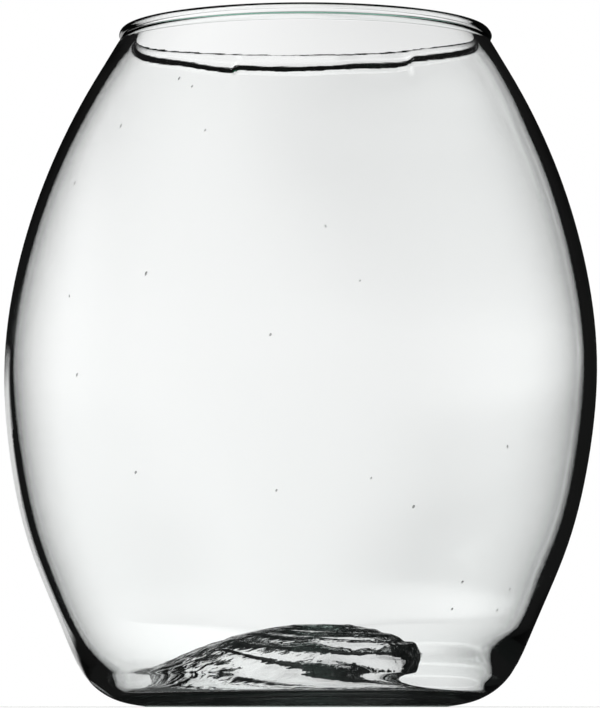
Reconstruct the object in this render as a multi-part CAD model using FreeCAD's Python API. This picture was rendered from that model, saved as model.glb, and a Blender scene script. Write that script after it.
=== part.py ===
import FreeCAD, Part
import math
import os

from FreeCAD import Vector

# Rose bowl vase of clear blown glass: a round body that narrows to an open mouth, a bead of
# glass wound round the mouth, and a wad of glass on the pushed-up bottom.
# Millimetres, +Z up. The origin is on the table, straight under the middle of the belly.
# Every wall is a smooth outline turned round an axis that leans with the blown body. A point of
# an outline is (radius, how far its ring's centre stands to +X of that axis, height).

os.makedirs("parts", exist_ok=True)

# Whole vase
vase_height = 240.0
belly_radius = 104.7
belly_height = 121.0
foot_radius = 53.0
mouth_lean = 3.0  # the mouth's centre stands this far to +X of the foot's

# Glass of the wall, measured square to it
mouth_wall = 3.8
belly_wall = 3.2
base_wall = 6.0
mouth_slope_deg = 32.0  # how far the wall leans in from upright where it ends at the mouth

# Bead of glass round the mouth
bead_radius = 65.95
bead_width = 4.5
bead_height = 3.4
bead_overhang = 0.7  # the bead stands this far outside the edge of the wall that it sits on

# Floor inside: a valley round the mound that the kick-up raises
valley_height = 6.8
valley_radius = 60.0
valley_offset = 1.2  # the valley's centre is this far to +X of the leaning axis
mound_top = 28.5
mound_offset = 8.0  # the same, for the mound's top

# Hollow under the vase, inside the ring that it stands on
kick_radius = 44.0
kick_depth = 21.5
kick_roof_radius = 13.0
kick_offset = 7.3  # the same, for the hollow's roof

# Wad of glass that the iron left on the roof of the hollow
seal_radius = 12.0
seal_thickness = 3.4
seal_edge = 1.2
swirl_height = 0.35
swirl_pitch = 7.0
swirl_arms = 2
swirl_samples = 15

# How far a cutter runs past what it cuts
overrun = 3.0

# Outer outline from the foot to the belly: height as a share of belly_height, radius as a share
# of the way from foot_radius to belly_radius
heel_shares = ((0.0, 0.0), (0.0174, 0.193))
# The same, with the wall's thickness as a share of the way from belly_wall to base_wall
lower_wall_shares = (
    (0.066, 0.376, 1.0),
    (0.198, 0.553, 0.643),
    (0.312, 0.666, 0.579),
    (0.455, 0.801, 0.489),
    (0.727, 0.953, 0.27),
)
# From the belly to the mouth: shares of the height and of the radius between the two, and of
# the way from belly_wall to mouth_wall
upper_wall_shares = (
    (0.337, 0.136, 0.10),
    (0.683, 0.483, 0.40),
    (0.856, 0.741, 0.65),
    (1.0, 1.0, 1.0),
)
# Mound: share of the valley's radius, share of the way from the valley's height to mound_top
mound_shares = (
    (0.047, 1.0),
    (0.168, 0.97),
    (0.317, 0.86),
    (0.467, 0.68),
    (0.616, 0.47),
    (0.79, 0.24),
    (0.9, 0.09),
    (1.0, 0.0),
    (1.06, 0.03),
)
# Hollow: share of the way from the roof's radius to the foot's, share of its depth
kick_shares = (
    (1.0, 0.0),
    (0.975, 0.13),
    (0.885, 0.335),
    (0.68, 0.56),
    (0.40, 0.765),
    (0.15, 0.925),
    (0.0, 1.0),
)
# Bead: share of its width from outside to inside, share of its height over its outer seat
bead_shares = (
    (0.0, 0.34),
    (0.057, 0.72),
    (0.244, 0.94),
    (0.435, 1.0),
    (0.635, 0.92),
    (0.833, 0.72),
    (0.967, 0.44),
    (1.0, 0.12),
    (0.967, -0.205),
)

mouth_slope = math.radians(mouth_slope_deg)
out_of_the_wall = Vector(math.cos(mouth_slope), 0, math.sin(mouth_slope))
seat_outside = Vector(bead_radius - bead_overhang, 0, vase_height - bead_height)
seat_inside = seat_outside - out_of_the_wall * mouth_wall


def between(low, high, share):
    """Value that lies a share of the way from low to high."""
    return low + (high - low) * share


def lean(height):
    """How far the leaning axis stands to +X at a height. It crosses the origin's upright at the belly."""
    return mouth_lean * (height - belly_height) / vase_height


def outline(points):
    """Smooth curve through the points of an outline."""
    curve = Part.BSplineCurve()
    curve.interpolate(Points=points)
    return curve


def ring(point):
    """Level ring through a point of an outline."""
    centre = Vector(lean(point.z) + point.y, 0, point.z)
    return Part.Wire(Part.makeCircle(point.x, centre))


def skin(curve):
    """Face that an outline sweeps in one turn.

    Each control point of the outline is carried round the square that stands about a circle.
    """
    corner = math.sqrt(0.5)
    square = (
        (1, 0, 1),
        (1, 1, corner),
        (0, 1, 1),
        (-1, 1, corner),
        (-1, 0, 1),
        (-1, -1, corner),
        (0, -1, 1),
        (1, -1, corner),
        (1, 0, 1),
    )
    poles = [
        [Vector(lean(p.z) + p.y + p.x * x, p.x * y, p.z) for p in curve.getPoles()]
        for x, y, _ in square
    ]
    weights = [[weight] * curve.NbPoles for _, _, weight in square]
    quarters = [i / 4 for i in range(5)]
    surface = Part.BSplineSurface()
    surface.buildFromPolesMultsKnots(
        poles, [3, 2, 2, 2, 3], curve.getMultiplicities(), quarters, curve.getKnots(), False, False, 2,
        curve.Degree, weights)
    return surface.toShape()


def seat():
    """Faces of the wall's cut end round the mouth, which the bead sits on."""
    return Part.makeLoft([ring(seat_outside), ring(seat_inside)], False, True).Faces


def closed(faces):
    """Solid inside faces that meet edge to edge."""
    shell = Part.Shell(faces)
    shell.sewShape()
    solid = Part.Solid(shell)
    if solid.Volume < 0:
        solid.reverse()
    return solid


def lower_point(height_share, radius_share):
    """Point of the outer outline between the foot and the belly."""
    radius = between(foot_radius, belly_radius, radius_share)
    return Vector(radius, 0, belly_height * height_share)


def upper_point(height_share, radius_share):
    """Point of the outer outline between the belly and the mouth."""
    radius = between(belly_radius, seat_outside.x, radius_share)
    return Vector(radius, 0, between(belly_height, seat_outside.z, height_share))


def wall_stations():
    """Points of the outer outline with the wall's thickness there, from the heel up to the mouth."""
    stations = [(lower_point(h, r), between(belly_wall, base_wall, t)) for h, r, t in lower_wall_shares]
    stations.append((Vector(belly_radius, 0, belly_height), belly_wall))
    stations += [(upper_point(h, r), between(belly_wall, mouth_wall, t)) for h, r, t in upper_wall_shares]
    return stations


def outer_outline(stations):
    """Outer outline from the foot to the mouth."""
    heel = [lower_point(h, r) for h, r in heel_shares]
    return outline([*heel, *(point for point, _ in stations)])


def inner_outline(stations, outer):
    """Inner outline: over the mound and the valley, then up the wall.

    Along the wall it is set in from the outer outline by the thickness there.
    """
    points = []
    for radius_share, rise_share in mound_shares:
        offset = between(valley_offset, mound_offset, rise_share)
        height = between(valley_height, mound_top, rise_share)
        points.append(Vector(valley_radius * radius_share, offset, height))
    for point, thickness in stations[:-1]:
        along = outer.tangent(outer.parameter(point))[0]
        points.append(point + Vector(-along.z, 0, along.x) * thickness)
    return outline([*points, seat_inside])


def hollow_outline():
    """Outline of the hollow under the vase, from the foot up to the edge of its roof."""
    points = []
    for radius_share, depth_share in kick_shares:
        radius = between(kick_roof_radius, kick_radius, radius_share)
        points.append(Vector(radius, kick_offset * depth_share, kick_depth * depth_share))
    return outline(points)


def vase_body():
    """Blown body: wall, heel, foot ground flat, and the bottom pushed up in the middle."""
    stations = wall_stations()
    outer = outer_outline(stations)
    inner = inner_outline(stations, outer)
    hollow = hollow_outline()
    foot = Part.makeFace([ring(outer.StartPoint), ring(hollow.StartPoint)], "Part::FaceMakerBullseye")
    crown = Part.Face(ring(inner.StartPoint))
    roof = Part.Face(ring(hollow.EndPoint))
    return closed([skin(outer), skin(inner), skin(hollow), foot, crown, roof, *seat()])


def lip_wrap():
    """Bead of glass wound once round the mouth, seated on the cut end of the wall."""
    crown = [
        Vector(bead_radius - bead_width * across, 0, seat_outside.z + bead_height * up)
        for across, up in bead_shares
    ]
    return closed([skin(outline([seat_outside, *crown, seat_inside])), *seat()])


def swirl_rise(x, y):
    """How far the wad's underside lies over its lowest ground: a raised rim, and arms that spiral out."""
    radius = math.hypot(x, y)
    share = radius / seal_radius
    rim = (seal_thickness - seal_edge) * share**4
    turn = swirl_arms * math.atan2(y, x) - math.tau * radius / swirl_pitch
    rise = rim + swirl_height * math.cos(turn) * min(1, share * swirl_arms)
    return min(rise, seal_thickness - seal_edge)


def pontil_seal():
    """Wad of glass left by the iron, flat where it is fused to the roof and swirled underneath."""
    reach = seal_radius + overrun
    steps = [between(-reach, reach, i / (swirl_samples - 1)) for i in range(swirl_samples)]
    lowest = kick_depth - seal_thickness
    grid = [[Vector(x, y, lowest + swirl_rise(x, y)) for y in steps] for x in steps]
    underside = Part.BSplineSurface()
    underside.interpolate(grid)
    above = underside.toShape().extrude(Vector(0, 0, kick_depth + overrun))
    drum = Part.makeCylinder(seal_radius, seal_thickness + overrun, Vector(0, 0, lowest - overrun))
    wad = drum.common(above)
    wad.translate(Vector(lean(kick_depth) + kick_offset, 0, 0))
    return wad.Solids[0]


def save(name, solid):
    """Write the solid of a piece to its STEP file, and say whether it is sound."""
    print(name, "valid", solid.isValid(), "volume", round(solid.Volume))
    solid.exportStep("parts/" + name + ".step")


save("vase_body", vase_body())
save("lip_wrap", lip_wrap())
save("pontil_seal", pontil_seal())
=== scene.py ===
"""Rose bowl vase of clear hand-blown glass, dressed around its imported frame.

Sizes are in millimetres, and a mesh gets them in metres. +Z is up, the origin is on the table straight
under the middle of the belly, and the photographed front faces -Y. A point of an outline is (radius, how
far its ring's centre stands to +X of the leaning axis, height).
"""

import logging
import math
from dataclasses import dataclass
from enum import Enum
from functools import cached_property, partial, reduce
from typing import NamedTuple, Sequence

import bpy
import numpy as np
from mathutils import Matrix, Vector
from numpy.typing import NDArray


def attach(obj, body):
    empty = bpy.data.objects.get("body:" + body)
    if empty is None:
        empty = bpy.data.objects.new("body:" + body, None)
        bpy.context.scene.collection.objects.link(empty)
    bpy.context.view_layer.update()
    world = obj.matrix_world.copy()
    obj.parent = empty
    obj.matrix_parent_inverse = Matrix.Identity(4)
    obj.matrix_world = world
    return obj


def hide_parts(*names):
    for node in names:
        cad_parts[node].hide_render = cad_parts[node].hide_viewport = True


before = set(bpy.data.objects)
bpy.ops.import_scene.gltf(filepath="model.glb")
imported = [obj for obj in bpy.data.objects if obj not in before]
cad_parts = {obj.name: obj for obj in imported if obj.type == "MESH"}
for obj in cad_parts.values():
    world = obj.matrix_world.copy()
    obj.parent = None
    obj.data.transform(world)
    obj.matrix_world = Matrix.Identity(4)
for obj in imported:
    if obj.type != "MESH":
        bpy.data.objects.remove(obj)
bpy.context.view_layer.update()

Array = NDArray[np.float64]
Span = tuple[float, float]
Point = tuple[float, float, float]
Colour = tuple[float, float, float]
Socket = bpy.types.NodeSocket
Number = float | Socket  # what a number input of a node takes
log = logging.getLogger("rose_bowl_vase")

MILLIMETRE = 0.001
SEAM_GAP = 0.01  # half the hair gap that two fused gathers keep between their seam faces
POLE = 0.4  # radius of the row next to the middle of a fused face
WHITE = (1.0, 1.0, 1.0, 1.0)


class Face(Enum):
    """Which material of a piece a face takes."""

    GLASS = 0
    SEAM = 1


def smooth_step(low: float, high: float, value: Array) -> Array:
    """Share that rises from 0 at low to 1 at high as 3t^2 - 2t^3. Low may lie above high."""
    t = np.clip((value - low) / (high - low), 0.0, 1.0)
    return t * t * (3.0 - 2.0 * t)


def bump_at(centre: float, width: float, value: Array) -> Array:
    """Height of a round bump at each value: exp(-((value - centre) / width)^2), which is 1 at the centre."""
    return np.exp(-(((value - centre) / width) ** 2))


def turn_from(angle: Array, centre_deg: float) -> Array:
    """How many degrees each angle, given in radians, lies past a bearing, within -180 to 180."""
    return (np.degrees(angle) - centre_deg + 180.0) % 360.0 - 180.0


def rows_of(radius: Array | float, offset: Array | float, height: Array | float) -> Array:
    """Stations (radius, offset, height), one a row. A single number counts for every row."""
    return np.stack(np.broadcast_arrays(radius, offset, height), axis=1)


def steps_between(stops: Sequence[float], counts: Sequence[int]) -> Array:
    """Lengths at even steps from each stop to the next.

    Args:
        stops: Lengths along an outline, in order.
        counts: Lengths on each leg, from its first stop on. Only the last leg's reach its second stop.

    Returns:
        The lengths in one run.
    """
    last = len(counts) - 1
    legs = enumerate(zip(stops, stops[1:], counts))
    return np.concatenate([np.linspace(a, b, n, endpoint=i == last) for i, (a, b, n) in legs])


class Band(NamedTuple):
    """Soft band, whose share rises from start to full and falls from ebb to end."""

    start: float
    full: float
    ebb: float
    end: float

    def at(self, value: Array) -> Array:
        """Share at each value: the rise times the fall."""
        return smooth_step(self.start, self.full, value) * smooth_step(self.end, self.ebb, value)


class Fade(NamedTuple):
    """Level that changes smoothly from at_low to at_high while a value goes from low to high."""

    low: float
    high: float
    at_low: float = 0.0
    at_high: float = 1.0


class Outline:
    """Smooth outline: the natural cubic spline through its points, whose parameter is the chords' length.

    The second derivatives M solve h[i-1] M[i-1] + 2 (h[i-1] + h[i]) M[i] + h[i] M[i+1] = 6 (d[i] - d[i-1]),
    where h are the chords' lengths and d their slopes, and M is 0 at both ends.
    """

    def __init__(self, points: Sequence[Sequence[float]]) -> None:
        """Solve the spline.

        Args:
            points: Points (radius, offset, height) in order.
        """
        self.points = np.array(points, float)
        self.chords = np.linalg.norm(np.diff(self.points, axis=0), axis=1)
        self.knots = np.concatenate([[0.0], np.cumsum(self.chords)])
        slopes = np.diff(self.points, axis=0) / self.chords[:, None]
        count = len(self.points)
        system = np.eye(count)
        right = np.zeros_like(self.points)
        inner = np.arange(1, count - 1)
        system[inner, inner - 1] = self.chords[:-1]
        system[inner, inner] = 2.0 * (self.chords[:-1] + self.chords[1:])
        system[inner, inner + 1] = self.chords[1:]
        right[1:-1] = 6.0 * np.diff(slopes, axis=0)
        self.bends = np.linalg.solve(system, right)

    def at(self, parameter: Array) -> Array:
        """Points of the outline.

        Args:
            parameter: Lengths along the chords.

        Returns:
            One (radius, offset, height) a row.
        """
        i, h, a, b = self._span(parameter)
        cubic = (a**3 - a) * self.bends[i] + (b**3 - b) * self.bends[i + 1]
        return a * self.points[i] + b * self.points[i + 1] + cubic * h * h / 6.0

    def slope(self, parameter: Array) -> Array:
        """Directions of the outline, of length 1 in the plane of radius and height.

        Args:
            parameter: Lengths along the chords.

        Returns:
            One (radius, offset, height) a row.
        """
        i, h, a, b = self._span(parameter)
        cubic = (3.0 * b * b - 1.0) * self.bends[i + 1] - (3.0 * a * a - 1.0) * self.bends[i]
        slope = (self.points[i + 1] - self.points[i]) / h + cubic * h / 6.0
        return slope / np.hypot(slope[:, 0], slope[:, 2])[:, None]

    def spread(self, count: int) -> Array:
        """Parameters at even steps from the first point to the last."""
        return np.linspace(0.0, self.knots[-1], count)

    def _span(self, parameter: Array) -> tuple[NDArray[np.int64], Array, Array, Array]:
        """Find the spans that parameters fall in.

        Args:
            parameter: Lengths along the chords.

        Returns:
            The span's number, its chord, and the shares of its first and its second point.
        """
        i = np.clip(np.searchsorted(self.knots, parameter, "right") - 1, 0, len(self.chords) - 1)
        h = self.chords[i][:, None]
        b = (parameter - self.knots[i])[:, None] / h
        return i, h, 1.0 - b, b


@dataclass(frozen=True)
class Ripples:
    """Waves that the glass froze with: a sum of cosines with whole numbers of lobes round the vase.

    height = size sqrt(2 / count) * sum of cos(lobes * angle + 2 pi * along / pitch + phase)
    """

    seed: int
    count: int
    lobes: tuple[int, int]
    pitch: tuple[float, float]
    size: float

    def at(self, angle: Array, along: Array) -> Array:
        """Height of the waves.

        Args:
            angle: Angles round the axis in radians.
            along: Lengths along the outline in millimetres.

        Returns:
            The heights in millimetres.
        """
        draw = np.random.default_rng(self.seed)
        lobes = draw.integers(self.lobes[0], self.lobes[1] + 1, self.count)
        pitch = draw.uniform(*self.pitch, self.count)
        phase = draw.uniform(0.0, math.tau, self.count)
        waves = np.zeros(np.broadcast(angle, along).shape)
        for m, p, start in zip(lobes, pitch, phase):
            waves += np.cos(m * angle + math.tau * along / p + start)
        return waves * self.size * math.sqrt(2.0 / self.count)


@dataclass(frozen=True)
class WanderingJoin:
    """Join under the bead, which hangs lowest at the back. Depths and heights are in millimetres."""

    back_depth: float = 0.9
    back_sines: Span = (-0.3, 0.6)  # sine of the angle where the back begins, and where it is full
    thick_spot: float = 1.1
    thick_bearings: Band = Band(50.0, 54.0, 55.0, 77.0)
    notch: float = 1.2
    notch_bearings: Band = Band(112.7, 114.5, 114.3, 140.3)
    # How far the bead's top sags at the back, and deeper at a bearing, within a width in degrees
    sag: float = 0.25
    sag_sines: Span = (0.0, 0.5)
    deep_sag: float = 0.85
    deep_bearing: Span = (58.0, 20.0)
    # Heights over which the top's drop turns into the join's, and over which all of it sets in
    top_to_join: Span = (239.8, 237.4)
    wall_to_join: Span = (222.0, 235.0)
    # Share of the drop by which the glass opens outwards, in full below the second height
    opening: float = 0.6
    opening_heights: Span = (240.0, 236.0)

    def shift(self, angle: Array, radius: Array, height: Array) -> tuple[Array, Array]:
        """Carry points down and outwards with the join.

        The join drops by the back's depth, the thick spot's and the notch's, and the bead's top by its sag.
        In between, the drop is mixed by height, and down the wall it fades out.

        Args:
            angle: Angle of each column in radians.
            radius: Radius of each point.
            height: Height of each point.

        Returns:
            The radius and the height of each point after the shift.
        """
        bearing, behind = turn_from(angle, 0.0), np.sin(angle)
        join = self.back_depth * smooth_step(*self.back_sines, behind)
        join = join + self.thick_spot * self.thick_bearings.at(bearing)
        join = join + self.notch * self.notch_bearings.at(bearing)
        deep = self.deep_sag * bump_at(*self.deep_bearing, bearing)
        top = (self.sag + deep) * smooth_step(*self.sag_sines, behind)
        drop = top + (join - top) * smooth_step(*self.top_to_join, height)
        drop = drop * smooth_step(*self.wall_to_join, height)
        wider = self.opening * drop * smooth_step(*self.opening_heights, height)
        return radius + wider, height - drop


@dataclass(frozen=True)
class Blowing:
    """What the whole vase shares: its height, the lean that it froze with, and its wandering join."""

    height: float = 240.0
    belly_height: float = 121.0
    lean: float = 3.0
    join: WanderingJoin = WanderingJoin()

    def axis(self, height: Array) -> Array:
        """How far the leaning axis stands to +X: lean * (height - belly_height) / height of the vase."""
        return self.lean * (height - self.belly_height) / self.height


class TurnedGrid:
    """Grid of points that an outline sweeps round the leaning axis, one row a station of the outline."""

    def __init__(self, blowing: Blowing, columns: int) -> None:
        """Start an empty grid.

        Args:
            blowing: Shape that the vase shares.
            columns: Points in a row, all the way round.
        """
        self.blowing = blowing
        self.angle = np.linspace(0.0, math.tau, columns, endpoint=False)[None, :]
        self.rows: list[Array] = []
        self.kinds: list[Face] = []

    def sweep(self, points: Array, push: Array | float = 0.0, slope: Array | None = None,
              kind: Face = Face.GLASS) -> None:
        """Add rows. A row's points stand at its centre plus radius times (cos, sin) of the angle.

        Args:
            points: Stations (radius, offset, height), one a row.
            push: How far each point is moved along the outline's outward normal, which is its slope turned
                a quarter, (dz, -dr).
            slope: Directions of the outline, for push.
            kind: Material of the faces that lead from these rows to the next.
        """
        radius = points[:, 0][:, None] + np.zeros_like(self.angle)
        height = points[:, 2][:, None] + np.zeros_like(self.angle)
        if slope is not None:
            radius = radius + push * slope[:, 2][:, None]
            height = height - push * slope[:, 0][:, None]
        radius, height = self.blowing.join.shift(self.angle, radius, height)
        centre = self.blowing.axis(height) + points[:, 1][:, None]
        block = np.stack([centre + radius * np.cos(self.angle), radius * np.sin(self.angle), height], axis=2)
        self.rows.extend(block)
        self.kinds.extend([kind] * len(block))

    def mesh(self, name: str, loop: bool = False) -> bpy.types.Mesh:
        """Mesh of the closed grid."""
        return mesh_from(name, *self.closed(loop))

    def closed(self, loop: bool = False) -> tuple[Array, list[list[int]], Array]:
        """Close the grid with faces that point outwards.

        Neighbouring rows are joined by quads. A row of radius nearly 0 at an end becomes one point with a
        fan of triangles, and a loop joins its last row to the first.

        Args:
            loop: Whether the rows run in a ring, as on a bead.

        Returns:
            The points in millimetres, the corners of each face and the material number of each face.
        """
        grid = np.array(self.rows)
        rows, columns = grid.shape[:2]
        index = np.arange(rows * columns).reshape(rows, columns)
        after = np.roll(index, -1, axis=1)
        last = rows if loop else rows - 1
        above, above_after = np.roll(index, -1, axis=0), np.roll(after, -1, axis=0)
        quads = np.stack([index, after, above_after, above], axis=2)[:last]
        kinds = np.repeat([kind.value for kind in self.kinds[:last]], columns)
        vertices = grid.reshape(-1, 3)
        faces = quads.reshape(-1, 4).tolist()
        if not loop:
            low, high = len(vertices), len(vertices) + 1
            poles = np.array([grid[0].mean(axis=0), grid[-1].mean(axis=0)])
            vertices = np.concatenate([vertices, poles])
            first = np.stack([np.full(columns, low), after[0], index[0]], axis=1)
            final = np.stack([index[-1], after[-1], np.full(columns, high)], axis=1)
            faces += first.tolist() + final.tolist()
            ends = [self.kinds[0].value] * columns + [self.kinds[-1].value] * columns
            kinds = np.concatenate([kinds, ends])
        return vertices, faces, kinds


def mesh_from(name: str, vertices: Array, faces: list[list[int]], kinds: Array) -> bpy.types.Mesh:
    """Mesh of smooth faces.

    Args:
        name: Name of the mesh.
        vertices: Points in millimetres, one a row.
        faces: Corners of each face.
        kinds: Material number of each face.

    Returns:
        The mesh in metres.
    """
    mesh = bpy.data.meshes.new(name)
    mesh.from_pydata(vertices * MILLIMETRE, [], faces)
    mesh.polygons.foreach_set("material_index", np.asarray(kinds, np.int32))
    mesh.polygons.foreach_set("use_smooth", np.ones(len(faces), bool))
    mesh.update()
    return mesh


class Graph:
    """Node tree that is filled by short calls."""

    def __init__(self, tree: bpy.types.NodeTree) -> None:
        """Take a tree and empty it."""
        self.tree = tree
        tree.nodes.clear()

    def add(self, kind: str, inputs: dict[str | int, object] | None = None,
            **settings: object) -> bpy.types.Node:
        """Add a node.

        Args:
            kind: Type of the node.
            inputs: Value or output socket for each named or numbered input.
            **settings: Properties of the node.

        Returns:
            The node.
        """
        node = self.tree.nodes.new(kind)
        for name, value in settings.items():
            setattr(node, name, value)
        for key, value in (inputs or {}).items():
            if isinstance(value, bpy.types.NodeSocket):
                self.tree.links.new(value, node.inputs[key])
            else:
                node.inputs[key].default_value = value
        return node

    def math(self, operation: str, first: Number, second: Number) -> Socket:
        """Result of a math node on two numbers."""
        return self.add("ShaderNodeMath", {0: first, 1: second}, operation=operation).outputs[0]

    def product(self, *factors: Number) -> Socket:
        """Product of two or more numbers."""
        return reduce(partial(self.math, "MULTIPLY"), factors)

    def total(self, *terms: Number) -> Socket:
        """Sum of two or more numbers."""
        return reduce(partial(self.math, "ADD"), terms)

    def ramp(self, value: Number, fade: Fade) -> Socket:
        """Level of a fade at a value. Outside the fade it is held."""
        inputs = dict(zip(("From Min", "From Max", "To Min", "To Max"), fade), Value=value)
        return self.add("ShaderNodeMapRange", inputs, interpolation_type="SMOOTHSTEP").outputs["Result"]

    def mix(self, share: Number, first: Number, second: Number) -> Socket:
        """Number that lies a share of the way from first to second."""
        return self.add("ShaderNodeMix", {"Factor": share, 2: first, 3: second}, data_type="FLOAT").outputs[0]

    def blend(self, share: Number, first: Socket, second: Socket) -> Socket:
        """Shader that lies a share of the way from first to second."""
        return self.add("ShaderNodeMixShader", {0: share, 1: first, 2: second}).outputs[0]

    def glow(self, strength: Number) -> Socket:
        """Shader that gives off white light."""
        return self.add("ShaderNodeEmission", {"Color": WHITE, "Strength": strength}).outputs[0]

    def place(self, kind: str = "Object") -> Socket:
        """Coordinates of the shaded point."""
        return self.add("ShaderNodeTexCoord").outputs[kind]

    def parts(self, vector: Socket) -> list[Socket]:
        """X, Y and Z of a vector."""
        return list(self.add("ShaderNodeSeparateXYZ", {0: vector}).outputs)

    def length(self, vector: Socket) -> Socket:
        """Length of a vector."""
        return self.add("ShaderNodeVectorMath", {0: vector}, operation="LENGTH").outputs["Value"]

    def stretched(self, place: Socket, scale: Point) -> Socket:
        """Coordinates times a scale along each axis, which sets the pitch of a noise in 1/m."""
        return self.add("ShaderNodeMapping", {"Vector": place, "Scale": scale}).outputs[0]

    def noise(self, place: Socket, scale: Number, detail: float, **others: Number) -> Socket:
        """Noise from 0 to 1 at some coordinates, with its Roughness or Distortion by name."""
        inputs = {"Vector": place, "Scale": scale, "Detail": detail, **others}
        return self.add("ShaderNodeTexNoise", inputs).outputs["Fac"]

    @cached_property
    def path(self) -> bpy.types.NodeOutputs:
        """Outputs of the tree's one Light Path node."""
        return self.add("ShaderNodeLightPath").outputs

    def reflected(self) -> Socket:
        """1 for light that has been reflected on its way, and 0 for light that only passed through."""
        return self.math("GREATER_THAN", self.path["Glossy Depth"], 0.5)

    def once(self) -> Socket:
        """1 for light that has been reflected once at most."""
        return self.math("LESS_THAN", self.path["Glossy Depth"], 1.5)

    def crossed(self, faces: int) -> Socket:
        """1 for light that has crossed more than a number of glass faces."""
        return self.math("GREATER_THAN", self.path["Transmission Depth"], faces + 0.5)


def new_material(name: str) -> tuple[bpy.types.Material, Graph]:
    """Make a material with no nodes, and the graph that fills it."""
    material = bpy.data.materials.new(name)
    material.use_nodes = True
    return material, Graph(material.node_tree)


class GlassEffects:
    """Node groups that the glass materials share. Lengths in them are in metres."""

    def __init__(self) -> None:
        """Build each group once."""
        self.cords = self._cords()
        self.wear = self._wear()
        self.wrinkles = self._wrinkles()

    @staticmethod
    def _group(name: str, output: str,
               **inputs: float) -> tuple[Graph, bpy.types.NodeOutputs, Socket]:
        """Empty shader node group with number sockets.

        Args:
            name: Name of the group.
            output: Name of its output.
            **inputs: Usual value of each input.

        Returns:
            The group's graph, the sockets of its inputs by name, and the socket that takes its output.
        """
        tree = bpy.data.node_groups.new(name, "ShaderNodeTree")
        for title, value in inputs.items():
            socket = tree.interface.new_socket(title, in_out="INPUT", socket_type="NodeSocketFloat")
            socket.default_value = value
        tree.interface.new_socket(output, in_out="OUTPUT", socket_type="NodeSocketFloat")
        graph = Graph(tree)
        return graph, graph.add("NodeGroupInput").outputs, graph.add("NodeGroupOutput").inputs[output]

    def _cords(self) -> bpy.types.NodeTree:
        """Cords, long faint ridges that run round the wall: a slow noise plus a little of a fine one.

        Returns:
            The group, which puts out the height of a bump.
        """
        fine_share = 0.12
        graph, given, out = self._group("glass_cords", "Height", Spacing=9.0, Drift=0.6)
        along = graph.stretched(graph.place(), (16.0, 16.0, 120.0))
        slow = graph.noise(along, 0.5, 2.0, Distortion=given["Drift"])
        fine = graph.noise(along, given["Spacing"], 3.0, Roughness=0.4)
        graph.tree.links.new(graph.total(slow, graph.product(fine, fine_share)), out)
        return graph.tree

    def _wrinkles(self) -> bpy.types.NodeTree:
        """Wrinkles of the pushed-up bottom, long shallow creases that fall towards +X.

        They are a broad noise plus a share of a thin one, faded out round the mound, over it and at the foot.

        Returns:
            The group, which puts out the height of a bump.
        """
        round_mound, over_mound, at_foot = Fade(0.061, 0.054), Fade(0.034, 0.028), Fade(0.0004, 0.002)
        graph, given, out = self._group("kick_up_wrinkles", "Height", Fine=0.4, Tilt=0.2)
        place = graph.place()
        tilt = graph.add("ShaderNodeVectorRotate", {"Vector": place, "Angle": given["Tilt"]},
                         rotation_type="Y_AXIS").outputs[0]
        long, short = graph.stretched(tilt, (55.0, 90.0, 300.0)), graph.stretched(tilt, (150.0, 200.0, 620.0))
        broad = graph.noise(long, 1.0, 2.0, Roughness=0.45, Distortion=0.9)
        thin = graph.noise(short, 1.0, 2.0, Distortion=0.6)
        waves = graph.total(broad, graph.product(thin, given["Fine"]))
        height = graph.parts(place)[2]
        level = graph.add("ShaderNodeVectorMath", {0: place, 1: (1.0, 1.0, 0.0)}, operation="MULTIPLY")
        radius = graph.length(level.outputs[0])
        inside = graph.product(graph.ramp(radius, round_mound), graph.ramp(height, over_mound),
                               graph.ramp(height, at_foot))
        graph.tree.links.new(graph.product(waves, inside), out)
        return graph.tree

    def _wear(self) -> bpy.types.NodeTree:
        """Handling wear: fine scuffs where a drifting noise is high, and the ring that was ground flat.

        Returns:
            The group, which puts out a roughness.
        """
        drifts, hairs, ring = Fade(0.58, 0.75), Fade(0.56, 0.72), Fade(0.0008, 0.0002)
        graph, given, out = self._group("handling_wear", "Roughness", Scuffs=0.05, Foot=0.4)
        place = graph.place()
        where = graph.ramp(graph.noise(place, 14.0, 3.0), drifts)
        fine = graph.ramp(graph.noise(place, 420.0, 2.0, Distortion=2.0), hairs)
        scuffs = graph.product(where, fine, given["Scuffs"])
        ground = graph.product(graph.ramp(graph.parts(place)[2], ring), given["Foot"])
        graph.tree.links.new(graph.math("MAXIMUM", scuffs, ground), out)
        return graph.tree


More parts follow.
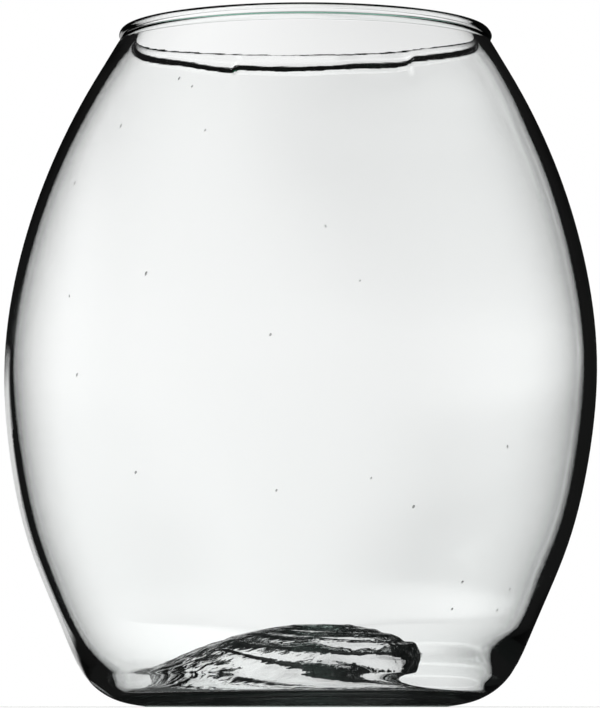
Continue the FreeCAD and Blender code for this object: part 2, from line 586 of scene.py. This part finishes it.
@dataclass(frozen=True)
class GlassFinish:
    """Clear soda glass with a grey-green tint that shows where light runs far inside it."""

    name: str
    cord_height: float = 0.02
    cord_spacing: float = 9.0
    wrinkle_height: float = 0.8
    scuffs: float = 0.05
    foot: float = 0.4
    ior: float = 1.51
    painted_edge_brightness: float = 1.0  # painted shade: brightness that the glass's colour falls to where the surface is seen edge-on
    depth_colour: Colour = (0.52, 0.76, 0.68)
    depth_density: float = 8.0
    shadow_colour: Colour = (0.93, 0.95, 0.94)

    def dress(self, piece: bpy.types.Object, effects: GlassEffects) -> None:
        """Give a piece its glass and its seam, in the order of Face."""
        for material in (self._glass(effects), self._seam()):
            piece.data.materials.append(material)

    def _absorption(self, graph: Graph) -> Socket:
        """Tint of the glass by the depth that light runs through it."""
        inputs = {"Color": (*self.depth_colour, 1.0), "Density": self.depth_density}
        return graph.add("ShaderNodeVolumeAbsorption", inputs).outputs[0]

    def _bump(self, graph: Graph, effect: bpy.types.Node, height: float, **under: Socket) -> Socket:
        """Normal of the surface under an effect of a height in millimetres, over another normal."""
        inputs = {"Strength": 1.0, "Distance": height * MILLIMETRE, "Height": effect.outputs["Height"]}
        return graph.add("ShaderNodeBump", {**inputs, **under}).outputs["Normal"]

    def _glass(self, effects: GlassEffects) -> bpy.types.Material:
        """Glass whose surface carries cords, wrinkles, wear and painted edge-on shade, and whose shadow stays
        light.

        Args:
            effects: Shared node groups.

        Returns:
            The material.
        """
        material, graph = new_material(self.name)
        cords = graph.add("ShaderNodeGroup", {"Spacing": self.cord_spacing}, node_tree=effects.cords)
        wear = graph.add("ShaderNodeGroup", {"Scuffs": self.scuffs, "Foot": self.foot},
                         node_tree=effects.wear)
        wrinkles = graph.add("ShaderNodeGroup", node_tree=effects.wrinkles)
        ridged = self._bump(graph, cords, self.cord_height)
        folded = self._bump(graph, wrinkles, self.wrinkle_height, Normal=ridged)
        # Painted shade: the glass's colour is darkened towards black where the surface is seen edge-on, down
        # to the edge-on brightness
        facing = graph.add("ShaderNodeLayerWeight", {"Blend": 0.5}).outputs["Facing"]
        painted_edge_darkening = graph.ramp(facing, Fade(0.5, 0.85, 0.0, 1.0 - self.painted_edge_brightness))
        painted_edge_shade = graph.add("ShaderNodeMix", {"Factor": painted_edge_darkening, 6: WHITE, 7: (0.0, 0.0, 0.0, 1.0)},
                          data_type="RGBA")
        glass = graph.add("ShaderNodeBsdfPrincipled", {
            "Base Color": painted_edge_shade.outputs[2], "IOR": self.ior, "Transmission Weight": 1.0,
            "Roughness": wear.outputs["Roughness"], "Normal": folded})
        clear = graph.add("ShaderNodeBsdfTransparent", {"Color": (*self.shadow_colour, 1.0)})
        surface = graph.blend(graph.path["Is Shadow Ray"], glass.outputs[0], clear.outputs[0])
        graph.add("ShaderNodeOutputMaterial", {"Surface": surface, "Volume": self._absorption(graph)})
        return material

    def _seam(self) -> bpy.types.Material:
        """Fused face between two gathers, which light crosses as if it weren't there.

        Returns:
            The material.
        """
        material, graph = new_material(self.name + "_seam")
        clear = graph.add("ShaderNodeBsdfTransparent", {"Color": WHITE}).outputs[0]
        graph.add("ShaderNodeOutputMaterial", {"Surface": clear, "Volume": self._absorption(graph)})
        return material


def put_on_frame(mesh: bpy.types.Mesh, node: str) -> bpy.types.Object:
    """Make a piece of a mesh, which stands for a node of the frame.

    Args:
        mesh: Mesh in its place.
        node: Node that the piece replaces.

    Returns:
        The piece, riding on the vase.
    """
    piece = bpy.data.objects.new(node + "_glass", mesh)
    bpy.context.scene.collection.objects.link(piece)
    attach(piece, "root")
    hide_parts(node)
    return piece


@dataclass(frozen=True)
class Seat:
    """Cut end of the wall round the mouth, which the bead is fused to."""

    outside: Point = (65.25, 0.0, 236.6)
    wall: float = 3.8
    slope_deg: float = 32.0
    rows: int = 4
    edge_share: float = 0.02  # share of its width that is left free at each edge

    @property
    def inside(self) -> Point:
        """Inner edge of the seat: the outer edge set in, square to the wall."""
        radius, _, height = self.outside
        slope = math.radians(self.slope_deg)
        return (radius - self.wall * math.cos(slope), 0.0, height - self.wall * math.sin(slope))

    def across(self, start: Point, end: Point, gap: float) -> Array:
        """Stations across the seat: start + (end - start) * share, raised by the gap.

        Args:
            start: Edge that they begin at.
            end: Edge that they run to.
            gap: How far they stand over the seat.

        Returns:
            One (radius, offset, height) a row.
        """
        share = np.linspace(self.edge_share, 1.0 - self.edge_share, self.rows)
        radius, height = (start[i] + (end[i] - start[i]) * share for i in (0, 2))
        return rows_of(radius, 0.0, height + gap)


@dataclass(frozen=True)
class Seed:
    """Bubble in the wall: its bearing round the vase, its height, and half its width and its length up."""

    bearing_deg: float
    height: float
    wide: float
    tall: float
    tilt: float = 0.35

    def void(self, radius: float, axis: float) -> tuple[Array, Array]:
        """Surface of the bubble: an ellipsoid whose faces look at its own middle, away from the glass.

        A point stands at (wide * sin(a) * cos(b), wide * sin(a) * sin(b), tall * cos(a)), leaned along the
        wall by tilt times its height, and the two poles close it.

        Args:
            radius: Distance of the bubble from the leaning axis.
            axis: How far the axis stands to +X here.

        Returns:
            Its points in millimetres, and its triangles.
        """
        rings, around = 7, 12
        a = np.linspace(0.0, math.pi, rings + 2)[1:-1, None]
        b = np.linspace(0.0, math.tau, around, endpoint=False)[None, :]
        up = self.tall * np.cos(a) + np.zeros_like(b)
        along = self.wide * np.sin(a) * np.cos(b) + self.tilt * up
        out = self.wide * np.sin(a) * np.sin(b)
        ring = np.stack([along, out, up], axis=2).reshape(-1, 3)
        pole = np.array([[self.tilt * self.tall, 0.0, self.tall]])
        local = np.concatenate([ring, pole, -pole])
        turn = math.radians(self.bearing_deg)
        x = axis + (radius + local[:, 1]) * math.cos(turn) - local[:, 0] * math.sin(turn)
        y = (radius + local[:, 1]) * math.sin(turn) + local[:, 0] * math.cos(turn)
        index = np.arange(rings * around).reshape(rings, around)
        after = np.roll(index, -1, axis=1)
        low, high = rings * around + 1, rings * around
        sides = np.concatenate([
            np.stack([index[:-1], index[1:], after[1:]], axis=2).reshape(-1, 3),
            np.stack([index[:-1], after[1:], after[:-1]], axis=2).reshape(-1, 3),
            np.stack([np.full(around, high), index[0], after[0]], axis=1),
            np.stack([np.full(around, low), after[-1], index[-1]], axis=1),
        ])
        return np.stack([x, y, self.height + local[:, 2]], axis=1), sides


@dataclass
class BlownBody:
    """Blown bubble: wall, heavy heel, ground foot and the bottom pushed up in the middle.

    Lengths are in millimetres, and a length along an outline runs as its points do.
    """

    blowing: Blowing
    seat: Seat
    columns: int = 280
    heel: tuple[Span, ...] = ((53.0, 0.0), (62.98, 2.105))
    # Outer radius, height and thickness of the wall at each station
    wall: tuple[Point, ...] = (
        (72.44, 7.986, 6.0), (81.59, 23.958, 5.0), (87.43, 37.752, 4.82), (94.41, 55.055, 4.568),
        (102.27, 87.967, 3.956), (104.7, 121.0, 3.2), (99.33, 159.957, 3.26), (85.65, 199.955, 3.44),
        (75.47, 219.954, 3.59),
    )
    mound: tuple[Point, ...] = (
        (2.82, 8.0, 28.5), (10.08, 7.796, 27.849), (19.02, 7.048, 25.462), (28.02, 5.824, 21.556),
        (36.96, 4.396, 16.999), (47.4, 2.832, 12.008), (54.0, 1.812, 8.753),
        (60.0, 1.2, 6.8), (63.6, 1.404, 7.451),
    )
    hollow: tuple[Point, ...] = (
        (13.0, 7.3, 21.5), (17.65, 6.753, 19.888), (25.4, 5.585, 16.448), (34.08, 4.088, 12.04),
        (40.435, 2.446, 7.203), (43.225, 0.949, 2.795), (44.0, 0.0, 0.0),
    )
    seal_radius: float = 12.0
    # Rows of the fused roof, of the roof round it, of the hollow's wall and of the foot, and how far the
    # rows of the second and of the last stand in from the inner and the outer edge of their ring
    under_rows: tuple[int, int, int, int] = (6, 3, 84, 4)
    roof_edges: Span = (0.02, 0.2)
    foot_edges: Span = (0.5, 0.3)
    # Rows of the heel, of the wall and of its end, and the lengths of heel and end. The end's rows stay
    # close, because shading that is smooth over a longer row draws a dark line under the bead
    outside_rows: tuple[int, int, int] = (26, 52, 4)
    heel_length: float = 26.0
    end_length: float = 6.0
    # The same down the inside: the wall's end, the wall, its foot and the mound
    inside_rows: tuple[int, int, int, int] = (4, 42, 30, 90)
    inner_end_length: float = 8.0
    inner_foot_length: float = 30.0
    outer_waves: Ripples = Ripples(seed=11, count=9, lobes=(-4, 4), pitch=(90.0, 260.0), size=0.06)
    outer_inset: float = 1.6  # times the size of the outer waves, so that they only draw the wall in
    inner_waves: Ripples = Ripples(seed=23, count=14, lobes=(-7, 7), pitch=(110.0, 320.0), size=0.07)
    mound_folds: Ripples = Ripples(seed=31, count=20, lobes=(-7, -2), pitch=(5.0, 12.0), size=0.26)
    hollow_folds: Ripples = Ripples(seed=47, count=28, lobes=(-8, -2), pitch=(4.0, 9.0), size=0.48)
    left_calm: float = 0.5  # share of the folds that is missing at -X
    # Lengths over which waves and folds fade in or out beside the roof, foot, heel, mouth, valley and top
    roof_fade: float = 4.0
    foot_fade: float = 5.0
    heel_fade: Span = (8.0, 30.0)
    mouth_fade: float = 14.0
    inner_mouth_fade: float = 40.0
    valley_wall_fade: Span = (4.0, 44.0)
    valley_mound_fade: Span = (16.0, 4.0)
    top_fade: float = 8.0
    right_side_extra: float = 0.9
    # Front right of the mound: how far it is lower and the hollow wider, each with how far before the
    # valley or the foot its middle is and how far it reaches, and the angle that it faces in radians
    flank_drop: float = 1.0
    flank_drop_place: Span = (24.0, 13.0)
    flank_hollow: float = 3.5
    flank_hollow_place: Span = (9.0, 8.0)
    flank_turn: float = -0.35
    # Lap of glass under the join at the back: its height, its bearings, and its place below the join
    lap_height: float = 0.75
    lap_bearings: Band = Band(51.0, 54.5, 57.0, 76.0)
    lap_place: Span = (2.6, 1.8)
    seed_depth: float = 1.3
    seeds: tuple[Seed, ...] = (
        Seed(-123.1, 213.3, 0.35, 0.60), Seed(-118.5, 209.9, 0.30, 0.40), Seed(-136.9, 197.9, 0.30, 0.70),
        Seed(-112.4, 193.6, 0.25, 0.40), Seed(-121.1, 144.6, 0.40, 0.70), Seed(-51.2, 42.2, 0.40, 0.50),
        Seed(-52.0, 33.1, 0.35, 0.45), Seed(-36.6, 33.1, 0.30, 0.50), Seed(-34.6, 40.3, 0.35, 0.50),
        Seed(-136.8, 111.9, 0.30, 0.60), Seed(-95.6, 122.8, 0.35, 0.45), Seed(-147.8, 179.1, 0.35, 0.70),
        Seed(-79.0, 141.0, 0.25, 0.35), Seed(-123.4, 78.4, 0.35, 0.50), Seed(-94.4, 71.7, 0.30, 0.40),
        Seed(-66.7, 66.7, 0.40, 0.55), Seed(-76.0, 75.8, 0.25, 0.40), Seed(38.0, 92.0, 0.40, 0.70),
        Seed(151.0, 150.0, 0.35, 0.60), Seed(84.0, 180.0, 0.30, 0.50), Seed(-8.0, 128.0, 0.35, 0.60),
    )

    def build(self) -> bpy.types.Object:
        """Build the body as one closed surface, from the hollow's roof round the foot to the mound's top.

        Returns:
            The piece.
        """
        grid = TurnedGrid(self.blowing, self.columns)
        outer = self._outer_outline()
        self._sweep_hollow(grid)
        self._sweep_foot(grid)
        self._sweep_outside(grid, outer)
        grid.sweep(self.seat.across(self.seat.outside, self.seat.inside, -SEAM_GAP), kind=Face.SEAM)
        self._sweep_inside(grid, self._inner_outline(outer))
        vertices, faces, kinds = grid.closed()
        for seed in self.seeds:
            middle = np.interp(seed.height, outer.points[:, 2], outer.points[:, 0]) - self.seed_depth
            points, sides = seed.void(float(middle), float(self.blowing.axis(seed.height)))
            faces += (sides + len(vertices)).tolist()
            vertices = np.concatenate([vertices, points])
            kinds = np.concatenate([kinds, np.full(len(sides), Face.GLASS.value)])
        return put_on_frame(mesh_from("vase_body_glass", vertices, faces, kinds), "vase_body")

    def _outer_outline(self) -> Outline:
        """Outline from the foot to the mouth."""
        points = [(r, 0.0, z) for r, z in self.heel] + [(r, 0.0, z) for r, z, _ in self.wall]
        return Outline([*points, self.seat.outside])

    def _inner_outline(self, outer: Outline) -> Outline:
        """Outline of the inside from the mound up: along the wall, outer point + thickness * (-dz, dr).

        Args:
            outer: Outline of the outside.

        Returns:
            The outline.
        """
        knots = outer.knots[len(self.heel):-1]
        slope = outer.slope(knots)
        thickness = np.array([t for _, _, t in self.wall])[:, None]
        wall = outer.at(knots) + rows_of(-slope[:, 2], 0.0, slope[:, 0]) * thickness
        return Outline([*self.mound, *wall, self.seat.inside])

    def _calm(self, angle: Array) -> Array:
        """Share of the folds that is left at each angle: 1 - left_calm * ((1 - cos) / 2)^3."""
        return 1.0 - self.left_calm * (0.5 - 0.5 * np.cos(angle)) ** 3

    def _flank(self, angle: Array) -> Array:
        """Share that is 1 where the flank faces and falls off round the vase: ((1 + cos) / 2)^2."""
        return (0.5 + 0.5 * np.cos(angle - self.flank_turn)) ** 2

    def _sweep_hollow(self, grid: TurnedGrid) -> None:
        """Roof, whose middle is fused to the wad, and the hollow's wall down to the foot.

        The wall is pushed by its twisted folds, less the flank's widening, and both fade out at its ends.

        Args:
            grid: Grid of the body.
        """
        fused_rows, free_rows, wall_rows, _ = self.under_rows
        roof_radius, offset, height = self.hollow[0]
        fused = np.linspace(POLE, self.seal_radius, fused_rows)
        grid.sweep(rows_of(fused, offset, height + SEAM_GAP), kind=Face.SEAM)
        inner, outer = self.roof_edges
        free = np.linspace(self.seal_radius + inner, roof_radius - outer, free_rows)
        grid.sweep(rows_of(free, offset, height))
        wall = Outline(self.hollow)
        stations = wall.spread(wall_rows)
        end = wall.knots[-1]
        fade = Band(0.0, self.roof_fade, end - self.foot_fade, end).at(stations)
        folds = self.hollow_folds.at(grid.angle, stations[:, None]) * self._calm(grid.angle)
        before, reach = self.flank_hollow_place
        dug = self.flank_hollow * self._flank(grid.angle) * bump_at(end - before, reach, stations)[:, None]
        grid.sweep(wall.at(stations), (folds - dug) * fade[:, None], wall.slope(stations))

    def _sweep_foot(self, grid: TurnedGrid) -> None:
        """Ring ground flat."""
        inner, outer = self.foot_edges
        radius = np.linspace(self.hollow[-1][0] + inner, self.heel[0][0] - outer, self.under_rows[-1])
        grid.sweep(rows_of(radius, 0.0, 0.0))

    def _sweep_outside(self, grid: TurnedGrid, outer: Outline) -> None:
        """Outer wall with its waves, which stay inside the belly's radius, and the lap under the join.

        Args:
            grid: Grid of the body.
            outer: Outline of the outside.
        """
        end = outer.knots[-1]
        stations = steps_between((0.0, self.heel_length, end - self.end_length, end), self.outside_rows)
        fade = Band(*self.heel_fade, end - self.mouth_fade, end).at(stations)
        waves = self.outer_waves.at(grid.angle, stations[:, None]) - self.outer_inset * self.outer_waves.size
        lap = self.lap_height * self.lap_bearings.at(turn_from(grid.angle, 0.0))
        before, reach = self.lap_place
        lump = lap * bump_at(end - before, reach, stations)[:, None]
        grid.sweep(outer.at(stations), waves * fade[:, None] + lump, outer.slope(stations))

    def _sweep_inside(self, grid: TurnedGrid, inner: Outline) -> None:
        """Inner wall, thicker towards +X, and the mound with its folds and its lower flank.

        Args:
            grid: Grid of the body.
            inner: Outline of the inside.
        """
        end = inner.knots[-1]
        valley = inner.knots[len(self.mound) - 2]
        stops = (end, end - self.inner_end_length, valley + self.inner_foot_length, valley, 0.0)
        stations = steps_between(stops, self.inside_rows)
        low, high = (valley + length for length in self.valley_wall_fade)
        wall_fade = Band(low, high, end - self.inner_mouth_fade, end).at(stations)
        waves = self.inner_waves.at(grid.angle, stations[:, None])
        thicker = self.right_side_extra * (0.5 + 0.5 * np.cos(grid.angle))
        ebb, rim = (valley - length for length in self.valley_mound_fade)
        mound_fade = Band(0.0, self.top_fade, ebb, rim).at(stations)
        folds = self.mound_folds.at(grid.angle, stations[:, None]) * self._calm(grid.angle)
        before, reach = self.flank_drop_place
        flank = self.flank_drop * self._flank(grid.angle) * bump_at(valley - before, reach, stations)[:, None]
        push = (waves + thicker) * wall_fade[:, None] + folds * mound_fade[:, None] - flank
        grid.sweep(inner.at(stations), push, -inner.slope(stations))


@dataclass
class LipWrap:
    """Bead of glass wound once round the mouth, fuller low on its outer side and slim at the back's join."""

    blowing: Blowing
    seat: Seat
    columns: int = 420
    rows: int = 40
    # Outline over the crown, (radius, height), from the outer edge of the seat to the inner one
    crown: tuple[Span, ...] = (
        (65.95, 237.756), (65.694, 239.048), (64.852, 239.796), (63.993, 240.0), (63.093, 239.728),
        (62.202, 239.048), (61.599, 238.096), (61.45, 237.008), (61.599, 235.903),
    )
    # Each full spot of the front: bearing and width in degrees, and share of the swell
    swell: float = 0.5
    full_spots: tuple[Point, ...] = ((-4.0, 14.0, 1.0), (-42.0, 18.0, 1.6), (-148.0, 18.0, 1.6))
    low_side: Band = Band(0.0, 0.06, 0.1, 0.24)  # share of the outline, as on the outer side
    slim: float = 0.5
    slim_bearings: Band = Band(70.0, 80.0, 111.0, 114.0)
    outer_side: Band = Band(0.0, 0.12, 0.2, 0.42)

    def build(self) -> bpy.types.Object:
        """Build the bead: its outline from the seat's outer edge over the crown to the inner edge.

        It is pushed out low down by swell * the sum of share * bump at the full spots, and drawn in on its
        outer side by slim.

        Returns:
            The piece.
        """
        grid = TurnedGrid(self.blowing, self.columns)
        outline = Outline([self.seat.outside, *((r, 0.0, z) for r, z in self.crown), self.seat.inside])
        stations = outline.spread(self.rows)
        along = (stations / stations[-1])[:, None]
        bearing = turn_from(grid.angle, 0.0)
        full = sum(share * bump_at(spot, width, bearing) for spot, width, share in self.full_spots)
        slim = self.slim * self.slim_bearings.at(bearing)
        push = self.swell * full * self.low_side.at(along) - slim * self.outer_side.at(along)
        grid.sweep(outline.at(stations), push, outline.slope(stations))
        grid.sweep(self.seat.across(self.seat.inside, self.seat.outside, SEAM_GAP), kind=Face.SEAM)
        return put_on_frame(grid.mesh("lip_wrap_glass", loop=True), "lip_wrap")


@dataclass
class PontilSeal:
    """Wad of glass that the iron left on the roof of the hollow, twisted as it came off."""

    blowing: Blowing
    columns: int = 220
    rows: tuple[int, int, int] = (70, 4, 12)  # of the underside, the edge and the fused face
    radius: float = 12.0
    first_radius: float = 0.2
    roof: float = 21.5
    offset: float = 7.3
    thickness: float = 3.4
    edge: float = 1.2
    edge_share: float = 0.9  # share of the edge below the roof at which its first row stands
    arm_height: float = 0.35
    arm_pitch: float = 7.0
    arms: int = 2

    def build(self) -> bpy.types.Object:
        """Build the wad: underside from its middle out, rounded edge, and the flat face that is fused.

        height over the lowest ground = (thickness - edge) * share^4 + arm_height * cos(arms * angle
        - 2 pi * radius / arm_pitch) * min(1, 2 share), and share is radius over the wad's radius.

        Returns:
            The piece.
        """
        under_rows, edge_rows, fused_rows = self.rows
        grid = TurnedGrid(self.blowing, self.columns)
        radius = np.linspace(self.first_radius, self.radius, under_rows)
        share = (radius / self.radius)[:, None]
        turn = self.arms * grid.angle - math.tau * radius[:, None] / self.arm_pitch
        rim = self.thickness - self.edge
        rise = rim * share**4 + self.arm_height * np.cos(turn) * np.minimum(1.0, 2.0 * share)
        lowest = self.roof - self.thickness
        outwards = rows_of(np.ones(under_rows), 0.0, 0.0)
        grid.sweep(rows_of(radius, self.offset, lowest), -np.minimum(rise, rim), outwards)
        sides = np.linspace(self.roof - self.edge * self.edge_share, self.roof - 2 * SEAM_GAP, edge_rows)
        grid.sweep(rows_of(self.radius, self.offset, sides))
        fused = np.linspace(self.radius, POLE, fused_rows)
        grid.sweep(rows_of(fused, self.offset, self.roof - SEAM_GAP), kind=Face.SEAM)
        return put_on_frame(grid.mesh("pontil_seal_glass"), "pontil_seal")


@dataclass(frozen=True)
class Camera:
    """Camera at table height, which looks up at the rim."""

    distance: float = 1588.0
    height: float = 0.5
    across: float = -0.3
    pitch_deg: float = 4.463
    lens: float = 228.85

    def build(self) -> None:
        """Make the scene's camera."""
        data = bpy.data.cameras.new("camera")
        data.lens = self.lens
        data.sensor_width = 36.0
        data.clip_start, data.clip_end = 0.05, 100.0
        camera = bpy.data.objects.new("camera", data)
        camera.location = Vector((self.across, -self.distance, self.height)) * MILLIMETRE
        camera.rotation_euler = (math.radians(90.0 + self.pitch_deg), 0.0, 0.0)
        bpy.context.scene.collection.objects.link(camera)
        bpy.context.scene.camera = camera


class Direction(NamedTuple):
    """Direction that light comes from: its parts towards +X, towards +Y and upwards, together 1 long."""

    across: Number
    ahead: Number
    up: Number


@dataclass
class Studio:
    """Bright backdrop and dark room: glass is clear against the one, and its edges mirror the other.

    Lengths are in metres. A fade gives a level by one part of a direction, or by a place on the floor.
    """

    # Backdrop through glass: its middle, what its sides add, what is lost high up and low down, its top
    middle: Fade = Fade(-0.06, 0.035, 1.15, 1.05)
    left_extra: Fade = Fade(-0.05, -0.12, 0.0, 0.18)
    right_extra: Fade = Fade(0.03, 0.12, 0.0, 0.15)
    high: Fade = Fade(0.075, 0.16)
    high_loss: Fade = Fade(-0.05, 0.03, 0.05, 0.15)
    low: Fade = Fade(0.045, 0.0)
    low_right_loss: Fade = Fade(0.01, 0.06, 0.0, 0.15)
    low_left_loss: Fade = Fade(-0.01, -0.05, 0.0, 0.06)
    ceiling: Fade = Fade(0.3, 0.46, 1.0, 0.08)
    # Room that reflections find, and the window strip at -X of the backdrop. Its reach is longer for light
    # that crossed two faces at most
    room: float = 0.008
    overhead: Fade = Fade(0.35, 0.9, 0.008, 0.06)
    window: float = 0.8
    window_side: Fade = Fade(0.008, -0.006)
    window_top: Fade = Fade(0.085, 0.055)
    window_end: float = 0.08
    long_reach: float = 0.44
    short_reach: float = 0.2
    # Backdrop that the mound mirrors: from where to where it is seen
    mirrored_low: Fade = Fade(0.03, 0.07)
    mirrored_high: Fade = Fade(0.3, 0.18)
    mirrored_side: Fade = Fade(0.24, 0.12, 0.0, 0.8)
    # Floor: by distance from the middle, the painted shadow under the vase that is seen through glass, and
    # its end in the backdrop
    floor_size: float = 6.0
    floor_drop: float = 0.00002
    floor_colour: Colour = (0.86, 0.86, 0.86)
    floor_painted_shadow: Fade = Fade(0.05, 0.09, 0.92, 1.0)
    floor_end: Fade = Fade(0.25, 1.2)
    floor_near: float = 0.2  # least distance at which a place of the floor counts as a direction
    # Window strip painted as light on the floor, which only reflections show, seen from the vase's left side:
    # how far that is, and where it begins
    strip_left: float = 0.09
    strip_near: float = 0.05
    strip_start: Fade = Fade(0.06, 0.14)
    lamp_size: float = 1.2
    lamp_power: float = 3.0
    lamp_place: Point = (-0.5, -0.2, 1.6)
    lamp_target: Point = (0.0, 0.0, 0.1)

    def build(self) -> None:
        """Make the world, the floor and the lamp."""
        self._world()
        self._floor()
        self._lamp()

    def _backdrop(self, graph: Graph, way: Direction) -> Socket:
        """Brightness of the backdrop through glass: (middle + sides) * (1 - losses) * ceiling.

        Args:
            graph: Graph of the nodes.
            way: Direction of the light.

        Returns:
            The brightness.
        """
        across, _, up = way
        sides = graph.total(graph.ramp(across, self.left_extra), graph.ramp(across, self.right_extra))
        lit = graph.total(graph.ramp(across, self.middle), sides)
        high = graph.product(graph.ramp(up, self.high), graph.ramp(across, self.high_loss))
        losses = graph.total(graph.ramp(across, self.low_right_loss), graph.ramp(across, self.low_left_loss))
        low = graph.product(graph.ramp(up, self.low), losses)
        left_over = graph.math("SUBTRACT", 1.0, graph.total(high, low))
        return graph.product(lit, left_over, graph.ramp(up, self.ceiling))

    def _window(self, graph: Graph, across: Number, reach: float) -> Socket:
        """Brightness of the window strip beside the backdrop, which ends at a reach to -X."""
        end = Fade(-reach, self.window_end - reach, 0.0, self.window)
        return graph.product(graph.ramp(across, self.window_side), graph.ramp(across, end))

    def _room(self, graph: Graph, way: Direction) -> Socket:
        """Brightness that reflections find: a dark room, and the window strip low and ahead.

        Only light that was reflected once sees the strip.

        Args:
            graph: Graph of the nodes.
            way: Direction of the light.

        Returns:
            The brightness.
        """
        long = self._window(graph, way.across, self.long_reach)
        short = self._window(graph, way.across, self.short_reach)
        glow = graph.product(graph.mix(graph.crossed(2), long, short), graph.ramp(way.up, self.window_top),
                             graph.once(), graph.math("GREATER_THAN", way.ahead, 0.0))
        return graph.total(glow, graph.ramp(way.up, self.overhead))

    def _mirrored(self, graph: Graph, way: Direction) -> Socket:
        """Brightness of the backdrop as the mound mirrors it, for light that crossed more than three faces.

        Args:
            graph: Graph of the nodes.
            way: Direction of the light.

        Returns:
            The brightness.
        """
        level = graph.product(graph.ramp(way.up, self.mirrored_low), graph.ramp(way.up, self.mirrored_high))
        side = graph.ramp(graph.math("ABSOLUTE", way.across, 0.0), self.mirrored_side)
        walls = graph.product(graph.crossed(3), graph.math("GREATER_THAN", way.ahead, 0.0))
        return graph.product(level, side, walls)

    def _world(self) -> None:
        """Light from all round, white for the camera and for matt surfaces."""
        world = bpy.data.worlds.new("studio")
        bpy.context.scene.world = world
        world.use_nodes = True
        graph = Graph(world.node_tree)
        way = Direction(*graph.parts(graph.place("Generated")))
        straight = graph.mix(graph.path["Is Transmission Ray"], 1.0, self._backdrop(graph, way))
        reflected = graph.total(self._room(graph, way), self._mirrored(graph, way))
        strength = graph.mix(graph.reflected(), straight, reflected)
        background = graph.add("ShaderNodeBackground", {"Color": WHITE, "Strength": strength})
        graph.add("ShaderNodeOutputWorld", {"Surface": background.outputs[0]})

    def _floor(self) -> None:
        """Pale floor that keeps the vase's shadow and fades into the backdrop."""
        half = self.floor_size / 2.0
        mesh = bpy.data.meshes.new("floor")
        corners = [(-half, -half, 0.0), (half, -half, 0.0), (half, half, 0.0), (-half, half, 0.0)]
        mesh.from_pydata(corners, [], [(0, 1, 2, 3)])
        floor = bpy.data.objects.new("floor", mesh)
        floor.location.z = -self.floor_drop
        bpy.context.scene.collection.objects.link(floor)
        mesh.materials.append(self._floor_material())

    def _floor_material(self) -> bpy.types.Material:
        """Matt for straight light, backdrop far off and through glass with a painted shadow under the vase,
        and room and painted window strip in reflections.

        Returns:
            The material.
        """
        material, graph = new_material("pale_floor")
        place = graph.place()
        across, ahead, _ = graph.parts(place)
        away = graph.length(place)
        passed = graph.path["Is Transmission Ray"]
        matt = graph.add("ShaderNodeBsdfPrincipled", {
            "Base Color": (*self.floor_colour, 1.0), "Roughness": 0.9, "Specular IOR Level": 0.0})
        bearing = graph.math("DIVIDE", across, graph.math("MAXIMUM", away, self.floor_near))
        level = Direction(bearing, 0.0, 0.0)
        # Seen through glass, the floor glows as the backdrop does, darkened by a painted shadow under the
        # vase
        lit = graph.product(self._backdrop(graph, level), graph.ramp(away, self.floor_painted_shadow))
        clear = graph.math("MAXIMUM", graph.ramp(away, self.floor_end), passed)
        straight = graph.blend(clear, matt.outputs[0], graph.glow(graph.mix(passed, 1.0, lit)))
        # Painted light: a strip of window light that glows on the floor, only for light that was reflected
        # once
        beside = graph.math("DIVIDE", graph.total(across, self.strip_left),
                            graph.math("MAXIMUM", ahead, self.strip_near))
        painted_window_light = graph.product(self._window(graph, beside, self.long_reach),
                              graph.ramp(ahead, self.strip_start), graph.once())
        surface = graph.blend(graph.reflected(), straight, graph.glow(graph.total(painted_window_light, self.room)))
        graph.add("ShaderNodeOutputMaterial", {"Surface": surface})
        return material

    def _lamp(self) -> None:
        """Wide soft lamp overhead, weak, for the shadow under the vase."""
        data = bpy.data.lights.new("softbox", "AREA")
        data.shape = "DISK"
        data.size = self.lamp_size
        data.energy = self.lamp_power
        lamp = bpy.data.objects.new("softbox", data)
        lamp.location = self.lamp_place
        aim = Vector(self.lamp_target) - lamp.location
        lamp.rotation_euler = aim.to_track_quat("-Z", "Y").to_euler()
        lamp.visible_glossy = lamp.visible_transmission = lamp.visible_camera = False
        bpy.context.scene.collection.objects.link(lamp)


def set_light_paths() -> None:
    """Let light run through many walls of glass before it is given up."""
    cycles = bpy.context.scene.cycles
    cycles.max_bounces = 24
    cycles.transmission_bounces = 24
    cycles.glossy_bounces = 12
    cycles.transparent_max_bounces = 24
    bpy.context.scene.view_settings.view_transform = "Standard"


def main() -> None:
    """Build the studio and the three gathers of the vase."""
    logging.basicConfig(level=logging.INFO, format="%(name)s: %(message)s")
    set_light_paths()
    Camera().build()
    Studio().build()
    effects = GlassEffects()
    blowing, seat = Blowing(), Seat()
    gathers = (
        (BlownBody(blowing, seat), GlassFinish("clear_blown_glass")),
        # The bead's glass gets painted shade, nearly black where it is seen edge-on
        (LipWrap(blowing, seat), GlassFinish("clear_lip_glass", foot=0.0, depth_density=2.0, painted_edge_brightness=0.05)),
        (PontilSeal(blowing), GlassFinish("clear_wad_glass", foot=0.0)),
    )
    for gather, finish in gathers:
        piece = gather.build()
        finish.dress(piece, effects)
        log.info("%s: %d faces, %s", piece.name, len(piece.data.polygons), finish.name)


if __name__ == "__main__":
    main()
